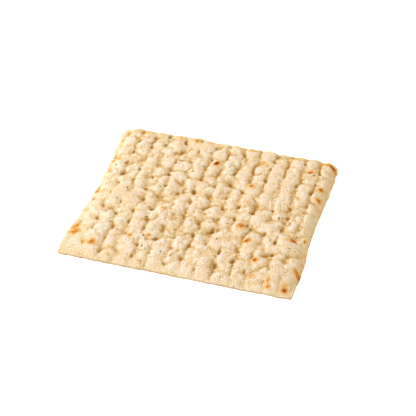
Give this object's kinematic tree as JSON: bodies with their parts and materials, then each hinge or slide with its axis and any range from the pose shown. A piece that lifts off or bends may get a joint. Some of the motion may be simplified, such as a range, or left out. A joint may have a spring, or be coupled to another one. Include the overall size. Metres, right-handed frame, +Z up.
{
  "type": "herb flatbread",
  "caption": "Thin rectangular flatbread, docked in staggered columns, with puffed toasted pillows, thin cut edges and dried herbs in its crust.",
  "frame": {"origin": "middle of the bounding box, on the flat underside", "axes": "+X along the long side, +Y from the near long edge to the far one, +Z up through the docked top"},
  "size_m": [0.1676, 0.148, 0.0082],
  "materials": {
    "crust": "matte",
    "herb": "matte"
  },
  "bodies": {
    "root": {"flatbread": "crust"}
  },
  "joints": []
}
